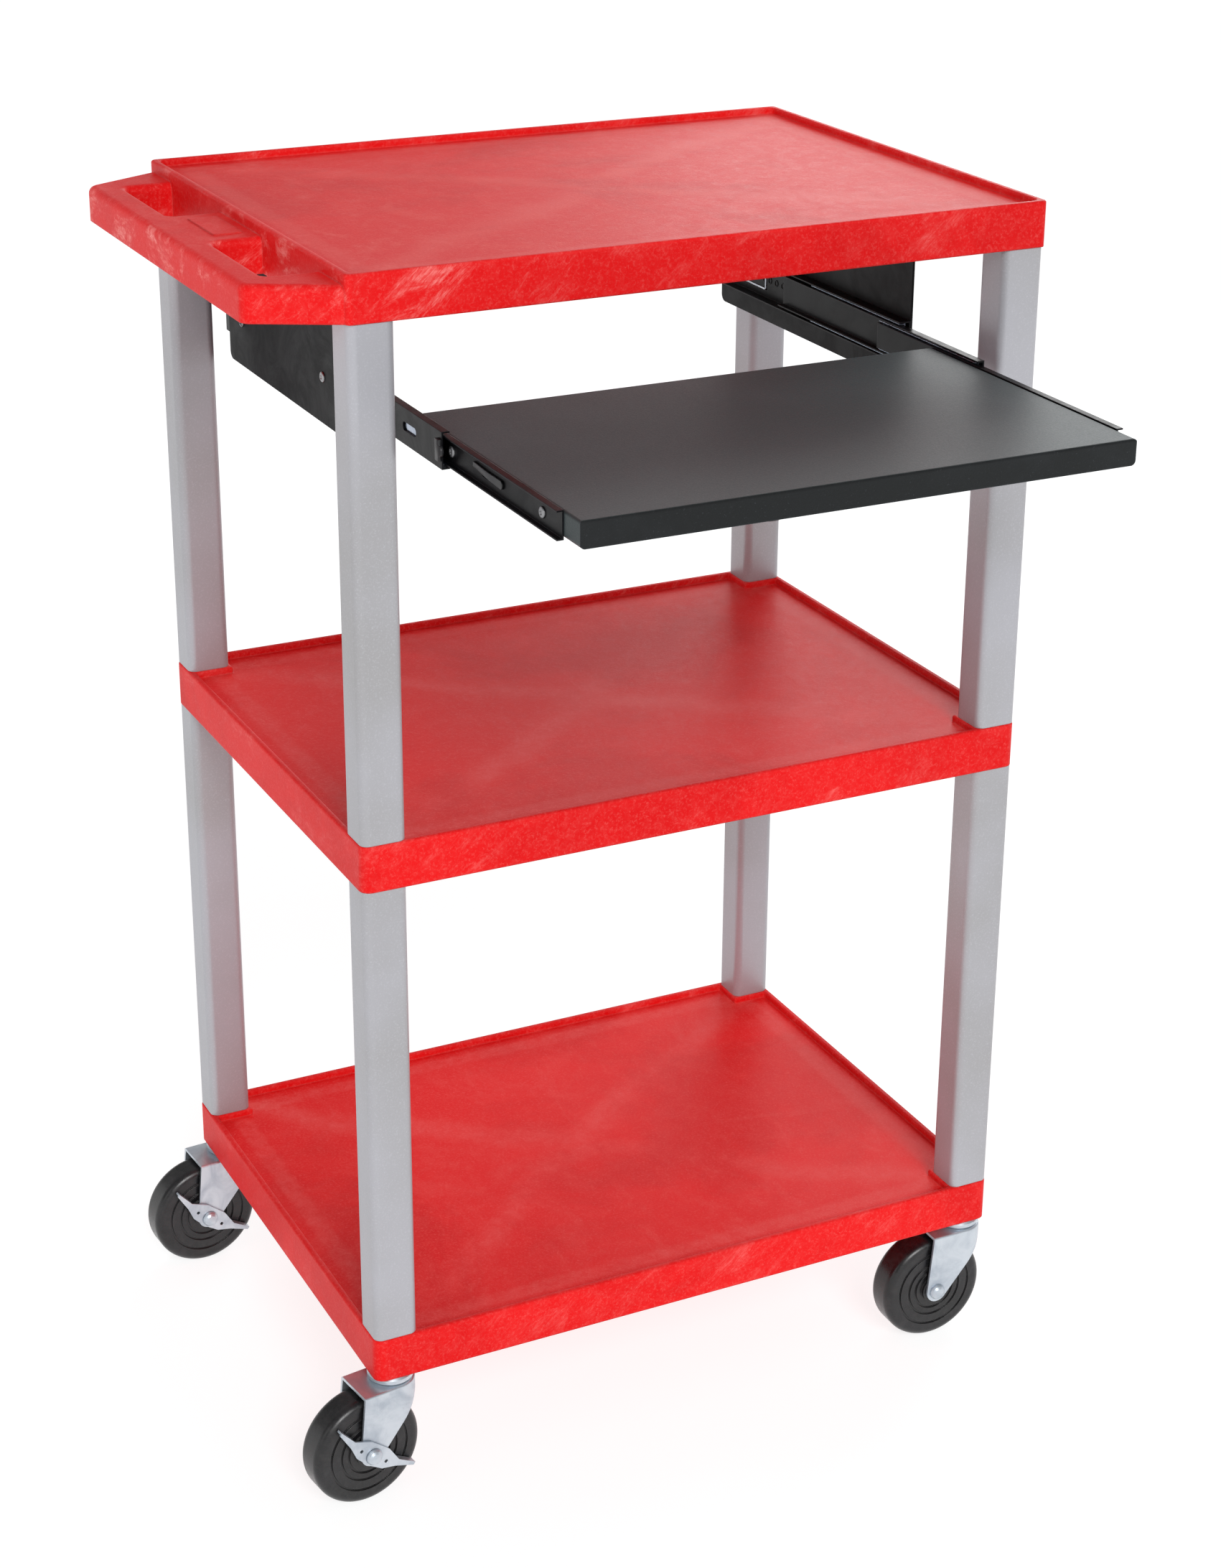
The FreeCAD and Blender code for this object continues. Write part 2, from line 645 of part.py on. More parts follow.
def bracket(name, side):
    """A sheet hanger: a flange screwed under the shelf and a plate that carries the slide."""
    body = new_body(name)
    near = half_tray + slide_thickness if side > 0 else -bracket_outer
    flange_middle = (bracket_outer - bracket_flange / 2) * side
    sketch = new_sketch(body, "plate_outline", "YZ_Plane", near)
    rectangle(sketch, 0, bracket_length, -bracket_height, 0)
    pad(body, sketch, bracket_sheet)
    round_edges(body, "lower_round", bracket_radius,
                lambda line: is_along(line, "x") and abs(middle_of(line).z + bracket_height.value) < 0.01)
    sketch = new_sketch(body, "flange_outline")
    rectangle(sketch, (bracket_outer - bracket_flange) * side, bracket_outer * side, 0, bracket_length)
    pad(body, sketch, bracket_sheet, reverse=True)
    for number, along in enumerate(bracket_screw_places):
        drill(body, f"flange_hole_{number}", "XY_Plane", (flange_middle, along),
              screw_radius + running_gap, -bracket_sheet * 2, bracket_sheet * 3)
    for number, along in enumerate(slide_screw_places):
        drill(body, f"plate_hole_{number}", "YZ_Plane", (along, slide_middle - rail_level),
              screw_radius + running_gap, near - bracket_sheet, bracket_sheet * 3)
    return place(body, 0, slide_front, rail_level)


def screws(name, places, axis, length):
    """A group of equal pan-head screws; each shank points along a turned Z axis from its head."""
    group = []
    for number, spot in enumerate(places):
        head = doc.addObject("Part::Cylinder", f"{name}_head_{number}")
        head.setExpression("Radius", screw_head_radius.text)
        head.setExpression("Height", screw_head_height.text)
        head.setExpression("Placement.Base.z", f"0 - {screw_head_height.text}")
        rounded = doc.addObject("Part::Fillet", f"{name}_dome_{number}")
        doc.recompute()
        rounded.Base = head
        lowest = min(range(len(head.Shape.Edges)), key=lambda index: middle_of(head.Shape.Edges[index]).z)
        rounded.Edges = [(lowest + 1, screw_dome.value, screw_dome.value)]
        shank = doc.addObject("Part::Cylinder", f"{name}_shank_{number}")
        shank.setExpression("Radius", screw_radius.text)
        shank.setExpression("Height", length.text)
        screw = doc.addObject("Part::Fuse", f"{name}_screw_{number}")
        screw.Base = rounded
        screw.Tool = shank
        screw.Placement = FreeCAD.Placement(Vector(0, 0, 0), Rotation(Vector(0, 0, 1), Vector(*axis)))
        for letter, size in zip("xyz", spot):
            screw.setExpression(f"Placement.Base.{letter}", as_size(size).text)
        group.append(screw)
    node = doc.addObject("Part::Compound", name)
    node.Label = name
    node.Links = group
    doc.recompute()
    return place(node)


def knob():
    """A round knob on a short post under the front of the tray."""
    body = new_body("tray_knob")
    sketch = new_sketch(body, "section", "XZ_Plane")
    outline(sketch, [(0, 0), (knob_base_radius, 0), (knob_base_radius, -tray_sheet),
                     (knob_post_radius, -tray_sheet), (knob_post_radius, -knob_neck),
                     (knob_radius, -knob_neck), (knob_radius, -knob_length), (0, -knob_length)])
    revolve(body, sketch)
    round_edges(body, "rim_round", knob_rim, lambda edge: is_level(edge, -knob_length))
    return place(body, -knob_side, tray_front + knob_setback, tray_top - tray_sheet)


# ---- casters -----------------------------------------------------------------------------------

def at_axle(side, end, turn):
    """Where a caster's axle is: behind its swivel axis, at the wheel's radius above the floor."""
    return (leg_x * side - caster_trail * cosine(turn), leg_y * end - caster_trail * sine(turn), wheel_radius)


def caster_stem(name, side, end):
    """The stem, the bearing cup and the kingpin that holds the fork, turned as one piece."""
    body = new_body(name)
    sketch = new_sketch(body, "section", "XZ_Plane")
    head_top = fork_top - fork_sheet - side_gap / 2
    head_low, head_radius = head_top - kingpin_head, kingpin_radius + kingpin_head
    cup_low, stem_top = fork_top + side_gap / 2, caster_height + stem_length
    outline(sketch, [(0, head_low), (head_radius, head_low), (head_radius, head_top),
                     (kingpin_radius, head_top), (kingpin_radius, cup_low), (cup_radius - cup_bevel, cup_low),
                     (cup_radius, cup_low + cup_bevel), (cup_radius, caster_height - cup_bevel),
                     (cup_radius - cup_bevel, caster_height), (stem_radius, caster_height),
                     (stem_radius, stem_top - stem_chamfer), (stem_radius - stem_chamfer, stem_top),
                     (0, stem_top)])
    revolve(body, sketch)
    return place(body, leg_x * side, leg_y * end)


def caster_fork(name, side, end, turn):
    """A pressed fork: a top plate rounded at the front, and two legs that taper to the axle."""
    shell = new_body(name + "_shell")
    tail = caster_trail + fork_tip_radius + fork_sheet
    for step, across in (("outer", fork_side), ("inner", fork_side - fork_sheet)):
        for kind in ("tail", "nose"):
            sketch = new_sketch(shell, f"{step}_{kind}")
            if kind == "tail":
                rectangle(sketch, -tail, 0, -across, across)
            else:
                circle(sketch, 0, 0, across)
            if step == "outer":
                pad(shell, sketch, fork_top)
            else:
                pocket(shell, sketch, fork_top - fork_sheet, reverse=True)
    round_edges(shell, "top_round", fork_top_round, lambda edge: is_level(edge, fork_top))
    drill(shell, "kingpin_hole", "XY_Plane", (0, 0), kingpin_radius + running_gap, fork_top - fork_sheet * 2,
          fork_sheet * 3)
    profile = new_body(name + "_profile")
    sketch = new_sketch(profile, "side", "XZ_Plane")
    radius = fork_tip_radius
    outline(sketch, [(-fork_back, fork_top), (-caster_trail - radius, wheel_radius),
                     (-caster_trail, wheel_radius),
                     (-caster_trail + fork_tip_forward, wheel_radius - fork_tip_drop),
                     (fork_throat, fork_top - fork_throat_drop), (fork_brow, fork_top - fork_brow_drop),
                     (fork_side, fork_top - fork_nose_drop), (fork_side, fork_top)])
    pad(profile, sketch, fork_width, both=True)
    sketch = new_sketch(profile, "tip", "XZ_Plane")
    circle(sketch, -caster_trail, wheel_radius, radius)
    pad(profile, sketch, fork_width, both=True)
    sketch = new_sketch(profile, "axle_hole", "XZ_Plane")
    circle(sketch, -caster_trail, wheel_radius, axle_radius + running_gap)
    pocket(profile, sketch, fork_width * 2, both=True)
    fork = doc.addObject("Part::Common", name)
    fork.Label = name
    fork.Base = shell
    fork.Tool = profile
    doc.recompute()
    return place(fork, leg_x * side, leg_y * end, turn=turn)


def caster_wheel(name, side, end, turn):
    """A solid wheel with ring grooves in both faces and a hub that fills the fork."""
    body = new_body(name)
    half = wheel_width / 2
    hub = fork_side - fork_sheet - side_gap
    bore = bushing_radius + running_gap
    face = [(bore, hub), (hub_radius, hub), (hub_radius, half)]
    for ring in (hub_groove, middle_groove, outer_groove):
        face += [(ring, half), (ring, half - groove_depth), (ring + groove_width, half - groove_depth),
                 (ring + groove_width, half)]
    face.append((wheel_radius, half))
    sketch = new_sketch(body, "section")
    outline(sketch, face + [(across, -along) for across, along in reversed(face)])
    revolve(body, sketch)
    round_edges(body, "shoulder_round", shoulder_radius,
                lambda edge: abs(math.hypot(middle_of(edge).x, middle_of(edge).z) - wheel_radius.value) < 0.01
                and abs(abs(middle_of(edge).y) - half.value) < 0.01)
    return place(body, *at_axle(side, end, turn), turn)


def turned_piece(name, section, where, turn):
    """A piece revolved about the axle, its section given as radius and distance along the axle."""
    body = new_body(name)
    sketch = new_sketch(body, "section")
    outline(sketch, section)
    revolve(body, sketch)
    return place(body, *where, turn)


def axle_bolt(name, side, end, turn, braked):
    """The bolt that the wheel turns on, its domed head towards -Y."""
    face = fork_side + running_gap
    if braked:
        face = face + lever_sheet + side_gap * 2
    section = [(0, -face - axle_head_height)]
    for step in (15, 35, 55, 75, 90):
        angle = math.radians(step)
        section.append((axle_head_radius * math.sin(angle), -face - axle_head_height * math.cos(angle)))
    section += [(axle_radius, -face), (axle_radius, axle_back), (0, axle_back)]
    return turned_piece(name, section, at_axle(side, end, turn), turn)


def bushing(name, side, end, turn):
    """The tube that the fork clamps and the wheel turns on."""
    half = fork_side - fork_sheet - running_gap
    bore = axle_radius + running_gap
    section = [(bore, -half), (bushing_radius, -half), (bushing_radius, half), (bore, half)]
    return turned_piece(name, section, at_axle(side, end, turn), turn)


def axle_nut(name, side, end, turn):
    """A hexagon nut on the axle's plain end."""
    body = new_body(name)
    sketch = new_sketch(body, "hexagon", "XZ_Plane", -(fork_side + running_gap))
    angles = [math.radians(60 * number) for number in range(6)]
    outline(sketch, [(nut_radius * math.cos(angle), nut_radius * math.sin(angle)) for angle in angles])
    circle(sketch, 0, 0, axle_radius + running_gap)
    pad(body, sketch, nut_height, reverse=True)
    return place(body, *at_axle(side, end, turn), turn)


def brake_lever(name, side, end, turn):
    """A two-winged rocker on the axle, outside the fork; each wing has a flange that faces the wheel."""
    body = new_body(name)
    lean_x, lean_z = cosine(lever_tilt), sine(lever_tilt)

    def leaning(across, up):
        across, up = as_size(across), as_size(up)
        return (across * lean_x + up * lean_z, up * lean_x - across * lean_z)

    tip = lever_rise + lever_tip
    belly, shoulder = -lever_belly_rise, lever_shoulder
    side_belly = lever_belly_side
    sketch = new_sketch(body, "plate_outline", "XZ_Plane", fork_side + side_gap)
    outline(sketch, [leaning(across, up) for across, up in (
        (-lever_reach, lever_rise), (-lever_wing, -lever_underside), (-side_belly, belly), (0, -lever_belly),
        (side_belly, belly), (lever_wing, -lever_underside), (lever_reach, lever_rise), (lever_reach, tip),
        (lever_wing, lever_rise), (shoulder, lever_hump), (-shoulder, lever_hump),
        (-lever_wing, lever_rise), (-lever_reach, tip))])
    pad(body, sketch, lever_sheet)
    round_edges(body, "outline_round", lever_radius,
                lambda line: is_along(line, "y") and math.hypot(middle_of(line).x, middle_of(line).z)
                < lever_wing.value)
    front = fork_side + side_gap + lever_sheet
    sketch = new_sketch(body, "flange_outline", "XZ_Plane", front)
    for wing_side in (-1, 1):
        outline(sketch, [leaning(across * wing_side, up) for across, up in (
            (lever_wing, lever_rise - lever_sheet), (lever_reach, tip - lever_sheet),
            (lever_reach, tip), (lever_wing, lever_rise))])
    pad(body, sketch, lever_flange, reverse=True)
    sketch = new_sketch(body, "hole_outline", "XZ_Plane", front)
    circle(sketch, 0, 0, axle_radius + running_gap)
    for wing_side in (-1, 1):
        circle(sketch, *leaning(lever_hole_side * wing_side, 0), lever_hole_radius)
    pocket(body, sketch, lever_sheet)
    return place(body, *at_axle(side, end, turn), turn)


# ---- the cart ----------------------------------------------------------------------------------

nodes = [top_shelf(), middle_shelf(), bottom_shelf(), tray(), knob()]
swivels = {"front_left": turn_front_left, "back_left": turn_back_left,
           "front_right": turn_front_right, "back_right": turn_back_right}
braked_corners = ("front_left", "back_left")

for side, side_name in ((-1, "left"), (1, "right")):
    nodes.append(bracket(f"bracket_{side_name}", side))
    nodes.append(channel(f"slide_outer_{side_name}", side, slide_thickness, outer_tip, outer_height,
                         slide_length, slide_front, slide_screw_places, slot_setback))
    nodes.append(channel(f"slide_middle_{side_name}", side, middle_web, middle_tip, middle_height,
                         middle_length, middle_front, [], slot_setback))
    nodes.append(channel(f"slide_inner_{side_name}", side, as_size(0), inner_width, inner_height,
                         slide_length, inner_front, [along - inner_setback for along in tray_screw_places],
                         inner_slot_setback))
    nodes.append(ball_strip(f"inner_balls_{side_name}", side, middle_web - slide_sheet - ball_clearance,
                            inner_strip_tip, (inner_height + row_gap) / 2, middle_front + strip_lead))
    nodes.append(ball_strip(f"outer_balls_{side_name}", side, middle_web + ball_clearance + retainer_sheet,
                            outer_strip_tip, (middle_height + row_gap) / 2, slide_front + middle_lead))
    nodes.append(screws(f"bracket_screws_{side_name}",
                        [((bracket_outer - bracket_flange / 2) * side, slide_front + along,
                          rail_level - bracket_sheet) for along in bracket_screw_places],
                        (0, 0, 1), bracket_screw_length))
    nodes.append(screws(f"slide_screws_{side_name}",
                        [(bracket_outer * side, slide_front + along, slide_middle)
                         for along in slide_screw_places], (-side, 0, 0), slide_screw_length))
    nodes.append(screws(f"tray_screws_{side_name}",
                        [((half_tray + slide_sheet) * side, tray_front + along, slide_middle)
                         for along in tray_screw_places], (-side, 0, 0), tray_screw_length))
    for end, end_name in ((-1, "front"), (1, "back")):
        corner = f"{end_name}_{side_name}"
        turn = swivels[corner]
        spot = (side, end, turn)
        nodes.append(leg(f"upper_leg_{corner}", side, end, middle_level + shelf_height,
                         top_level - middle_level - shelf_height))
        nodes.append(leg(f"lower_leg_{corner}", side, end, bottom_level + shelf_height,
                         shelf_pitch - shelf_height))
        nodes.append(caster_stem(f"caster_stem_{corner}", side, end))
        nodes.append(caster_fork(f"caster_fork_{corner}", *spot))
        nodes.append(caster_wheel(f"caster_wheel_{corner}", *spot))
        nodes.append(bushing(f"wheel_bushing_{corner}", *spot))
        nodes.append(axle_bolt(f"axle_bolt_{corner}", *spot, corner in braked_corners))
        nodes.append(axle_nut(f"axle_nut_{corner}", *spot))
        if corner in braked_corners:
            nodes.append(brake_lever(f"brake_lever_{corner}", *spot))

doc.recompute()
for item in doc.Objects:
    if "Invalid" in item.State or "Error" in item.State:
        raise RuntimeError(f"{item.Name} did not recompute: {item.State}")
os.makedirs("parts", exist_ok=True)
for node in nodes:
    if node.Shape.isNull() or not node.Shape.isValid():
        raise RuntimeError(f"{node.Label} has no valid shape")
    node.Shape.exportStep(f"parts/{node.Label}.step")
    print(node.Label, len(node.Shape.Solids), "solid(s),", round(node.Shape.Volume / 1000, 1), "cm3")
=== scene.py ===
import json
import math
import random

import bmesh
import bpy
from mathutils import Matrix, Vector


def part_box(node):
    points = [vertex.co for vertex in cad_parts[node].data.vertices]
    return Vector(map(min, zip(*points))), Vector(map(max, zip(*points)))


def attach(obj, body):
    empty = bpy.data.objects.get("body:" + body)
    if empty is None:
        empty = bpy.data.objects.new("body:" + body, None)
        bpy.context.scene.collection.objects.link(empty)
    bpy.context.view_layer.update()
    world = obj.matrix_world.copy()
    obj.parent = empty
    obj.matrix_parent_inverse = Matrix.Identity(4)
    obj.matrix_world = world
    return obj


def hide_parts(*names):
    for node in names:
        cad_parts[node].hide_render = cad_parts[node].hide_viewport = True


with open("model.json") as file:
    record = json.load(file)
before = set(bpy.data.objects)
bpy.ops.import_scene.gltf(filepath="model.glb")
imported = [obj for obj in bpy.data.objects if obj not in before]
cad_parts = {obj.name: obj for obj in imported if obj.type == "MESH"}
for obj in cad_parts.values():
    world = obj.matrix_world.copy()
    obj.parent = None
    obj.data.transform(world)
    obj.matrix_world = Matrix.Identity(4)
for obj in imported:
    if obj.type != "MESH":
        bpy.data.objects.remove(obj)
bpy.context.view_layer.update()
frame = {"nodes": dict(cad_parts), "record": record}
random.seed(11)
print("frame loaded", len(frame["nodes"]), "nodes")

# Camera

cameraSettings = {
    "place": (-1.0220, -2.07028, 1.57769),
    "azimuth": -26.472,
    "elevation": 21.980,
    "roll": 0.426,
    "sensor": 36.0,
    "lens": 67.355,
    "shift": (-0.00571, -0.04895),
    "farthest": 120,
}


def makeCamera(settings):
    azimuth = math.radians(settings["azimuth"])
    elevation = math.radians(settings["elevation"])
    roll = math.radians(settings["roll"])
    back = Vector((math.sin(azimuth) * math.cos(elevation),
                   -math.cos(azimuth) * math.cos(elevation), math.sin(elevation)))
    right = Vector((math.cos(azimuth), math.sin(azimuth), 0))
    up = back.cross(right)
    rolledRight = right * math.cos(roll) + up * math.sin(roll)
    rolledUp = up * math.cos(roll) - right * math.sin(roll)
    rotation = Matrix((rolledRight, rolledUp, back)).transposed().to_4x4()
    data = bpy.data.cameras.new("camera")
    data.sensor_width = settings["sensor"]
    data.lens = settings["lens"]
    data.shift_x, data.shift_y = settings["shift"]
    data.clip_end = settings["farthest"]
    camera = bpy.data.objects.new("camera", data)
    camera.matrix_world = Matrix.Translation(settings["place"]) @ rotation
    bpy.context.collection.objects.link(camera)
    bpy.context.scene.camera = camera


makeCamera(cameraSettings)
print("camera placed")

# Node helpers


class Shade:
    # one material made from its settings, with short calls for its nodes
    def __init__(self, name, settings):
        self.material = bpy.data.materials.new(name)
        self.material.use_nodes = True
        self.tree = self.material.node_tree
        self.surface = self.tree.nodes["Principled BSDF"]
        self.place = self.add("ShaderNodeTexCoord").outputs["Object"]
        self.settings = settings
        self.patterns = {key: self.pattern(**values) for key, values in settings["patterns"].items()}

    def add(self, kind, **settings):
        node = self.tree.nodes.new(kind)
        for key, value in settings.items():
            setattr(node, key, value)
        return node

    def put(self, socket, value):
        if isinstance(value, bpy.types.NodeSocket):
            self.tree.links.new(value, socket)
        elif hasattr(value, "__len__") and len(value) == 3 and socket.type == "RGBA":
            socket.default_value = (*value, 1)
        else:
            socket.default_value = value

    def leaning(self, turn, stretch):
        # turned first and stretched after, so that streaks run along the turned axes
        first, second = self.add("ShaderNodeMapping"), self.add("ShaderNodeMapping")
        first.inputs["Rotation"].default_value = [math.radians(angle) for angle in turn]
        second.inputs["Scale"].default_value = stretch
        self.put(first.inputs["Vector"], self.place)
        self.put(second.inputs["Vector"], first.outputs["Vector"])
        return second.outputs["Vector"]

    def noise(self, scale, detail, rough, distort=0, offset=0, where=None):
        node = self.add("ShaderNodeTexNoise", noise_dimensions="4D")
        self.put(node.inputs["Vector"], where or self.place)
        node.inputs["W"].default_value = offset
        node.inputs["Scale"].default_value = scale
        node.inputs["Detail"].default_value = detail
        node.inputs["Roughness"].default_value = rough
        node.inputs["Distortion"].default_value = distort
        return node.outputs["Fac"]

    def cells(self, scale):
        node = self.add("ShaderNodeTexVoronoi")
        self.put(node.inputs["Vector"], self.place)
        node.inputs["Scale"].default_value = scale
        return node.outputs["Distance"]

    def pattern(self, cells=None, turn=(0, 0, 0), stretch=None, **settings):
        # cells of a given scale, or noise that may be turned and stretched
        if cells:
            return self.cells(cells)
        where = self.leaning(turn, stretch) if stretch else None
        return self.noise(where=where, **settings)

    def span(self, value, low, high, toLow=0, toHigh=1):
        node = self.add("ShaderNodeMapRange", interpolation_type="SMOOTHSTEP")
        self.put(node.inputs["Value"], value)
        ends = {"From Min": low, "From Max": high, "To Min": toLow, "To Max": toHigh}
        for key, number in ends.items():
            self.put(node.inputs[key], number)
        return node.outputs["Result"]

    def level(self, value):
        # (pattern, low, high) or (pattern, low, high, to low, to high); a number or socket stays
        if isinstance(value, tuple):
            return self.span(self.patterns[value[0]], *value[1:])
        return value

    def math(self, operation, first, second=0):
        node = self.add("ShaderNodeMath", operation=operation)
        self.put(node.inputs[0], first)
        self.put(node.inputs[1], second)
        return node.outputs[0]

    def times(self, first, *others):
        for other in others:
            first = self.math("MULTIPLY", first, other)
        return first

    def mix(self, amount, first, second):
        node = self.add("ShaderNodeMix", data_type="RGBA")
        self.put(node.inputs[0], amount)
        self.put(node.inputs[6], first)
        self.put(node.inputs[7], second)
        return node.outputs[2]

    def parts(self, vector):
        node = self.add("ShaderNodeSeparateXYZ")
        self.put(node.inputs[0], vector)
        return node.outputs

    def edges(self, radius):
        # how strongly a place lies on an outer or inner edge, and the softened normal
        bevel = self.add("ShaderNodeBevel", samples=4)
        bevel.inputs["Radius"].default_value = radius
        flat = self.add("ShaderNodeNewGeometry").outputs["Normal"]
        dot = self.add("ShaderNodeVectorMath", operation="DOT_PRODUCT")
        self.put(dot.inputs[0], bevel.outputs["Normal"])
        self.put(dot.inputs[1], flat)
        straight, sharp = 0.995, 0.85  # how far the two normals agree
        return self.span(dot.outputs["Value"], straight, sharp), bevel.outputs["Normal"]

    def bump(self, height, strength, distance, normal=None):
        node = self.add("ShaderNodeBump")
        node.inputs["Strength"].default_value = strength
        node.inputs["Distance"].default_value = distance
        self.put(node.inputs["Height"], height)
        if normal is not None:
            self.put(node.inputs["Normal"], normal)
        return node.outputs["Normal"]

    def toned(self):
        # the ground colour: the base, or two tones drifting into each other
        if "tones" not in self.settings:
            return self.settings["base"]
        amount, first, second = self.settings["tones"]
        return self.mix(self.level(amount), self.settings[first], self.settings[second])

    def tinted(self, colour, amount, share, tint):
        amount = self.times(self.level(amount), self.level(share))
        return self.mix(amount, colour, self.settings[tint])

    def layered(self, colour):
        for amount, share, tint in self.settings.get("layers", ()):
            colour = self.tinted(colour, amount, share, tint)
        return colour

    def closed(self, colour):
        # edges, roughness, plain values and bumps, once the colour is made
        normal = None
        if "edge" in self.settings:
            edge = self.settings["edge"]
            amount, normal = self.edges(edge["radius"])
            colour = self.tinted(colour, amount, edge["share"], edge["tint"])
        self.put(self.surface.inputs["Base Color"], colour)
        self.put(self.surface.inputs["Roughness"], self.level(self.settings["rough"]))
        for name, value in self.settings.get("surface", {}).items():
            self.put(self.surface.inputs[name], value)
        for name, strength, distance in self.settings["bumps"]:
            normal = self.bump(self.patterns[name], strength, distance, normal)
        self.put(self.surface.inputs["Normal"], normal)
        return self.material


def makeCoat(name, settings):
    shade = Shade(name, settings)
    return shade.closed(shade.layered(shade.toned()))


def linear(red, green, blue):
    # a colour given as on a screen, in steps of 255, made linear
    out = []
    for step in (red, green, blue):
        share = step / 255
        out.append(share / 12.92 if share <= 0.04045 else ((share + 0.055) / 1.055) ** 2.4)
    return tuple(out)


# Moulded red plastic: foam swirls at the surface, flow lines that run from the corners of a deck,
# and a painted sheen that makes the decks paler

shelfPlastic = {
    "base": linear(224, 19, 21),
    "deep": linear(210, 12, 15),
    # pale: the tone of the mottle, flecks and edges, and of the painted sheen on the decks
    "pale": linear(246, 128, 122),
    "chalk": linear(250, 160, 154),
    "surface": {"IOR": 1.5, "Specular IOR Level": 0.1},
    "patterns": {
        "clouds": {"scale": 5, "detail": 5, "rough": 0.6, "distort": 0.6, "offset": 2.1},
        "feather": {"scale": 1, "detail": 9, "rough": 0.72, "distort": 0.9, "offset": 5.3,
                    "turn": (0, 38, 0), "stretch": (13, 18, 34)},
        "streaks": {"scale": 1, "detail": 7, "rough": 0.72, "distort": 0.5, "offset": 8.6,
                    "turn": (0, 44, 0), "stretch": (60, 80, 420)},
        "flecks": {"scale": 430, "detail": 3, "rough": 0.7, "distort": 0.4, "offset": 1.4},
        "grain": {"scale": 1700, "detail": 2, "rough": 0.6},
        "mottle": {"scale": 95, "detail": 6, "rough": 0.72, "distort": 0.5, "offset": 6.2},
        "warp": {"scale": 7, "detail": 3, "rough": 0.5, "distort": 0.3, "offset": 9.1},
    },
    "deckFacing": (0.8, 0.95),
    "tones": (("clouds", 0.36, 0.56), "deep", "base"),
    # painted sheen: the decks are made paler in feathery patches, only where a face points up
    "deckSheen": (("feather", 0.42, 0.66), 0.06, "pale"),
    "layers": [
        (("mottle", 0.44, 0.72), 0.08, "pale"),
        (("flecks", 0.46, 0.74), 0.2, "pale"),
    ],
    "swirl": {
        "handleEnd": (0.0, -0.30),
        "topShelf": (0.95, 1.0),
        "least": 0.3,
        "onDeck": 0.18,
        "levels": (("feather", 0.5, 0.66), ("streaks", 0.4, 0.64, 0.2, 1), ("clouds", 0.34, 0.56)),
        "share": 0.8,
    },
    "ray": {
        "width": 0.026,
        "core": 0.001,
        "warp": ("warp", 0.2, 0.8, -0.016, 0.016),
        "clouds": ("clouds", 0.36, 0.62, 0.15, 1),
        "mottle": ("mottle", 0.36, 0.6, 0.5, 1),
        "share": 0.12,
    },
    "fan": {
        "spread": 2.6,
        "pattern": {"scale": 3.4, "detail": 3, "rough": 0.55, "distort": 0.25, "offset": 3.7},
        "range": (0.6, 0.72),
        "share": 0.35,
    },
    "band": {
        "inner": (0.015, 0.021),
        "outer": (0.039, 0.030),
        "mottle": ("mottle", 0.3, 0.62, 0.25, 1),
        "share": 0.09,
    },
    "edge": {"radius": 0.0024, "share": 0.16, "tint": "pale"},
    "rough": ("mottle", 0.3, 0.7, 0.4, 0.5),
    "bumps": [("grain", 0.4, 0.00022), ("flecks", 0.3, 0.0005), ("mottle", 0.12, 0.0012)],
}


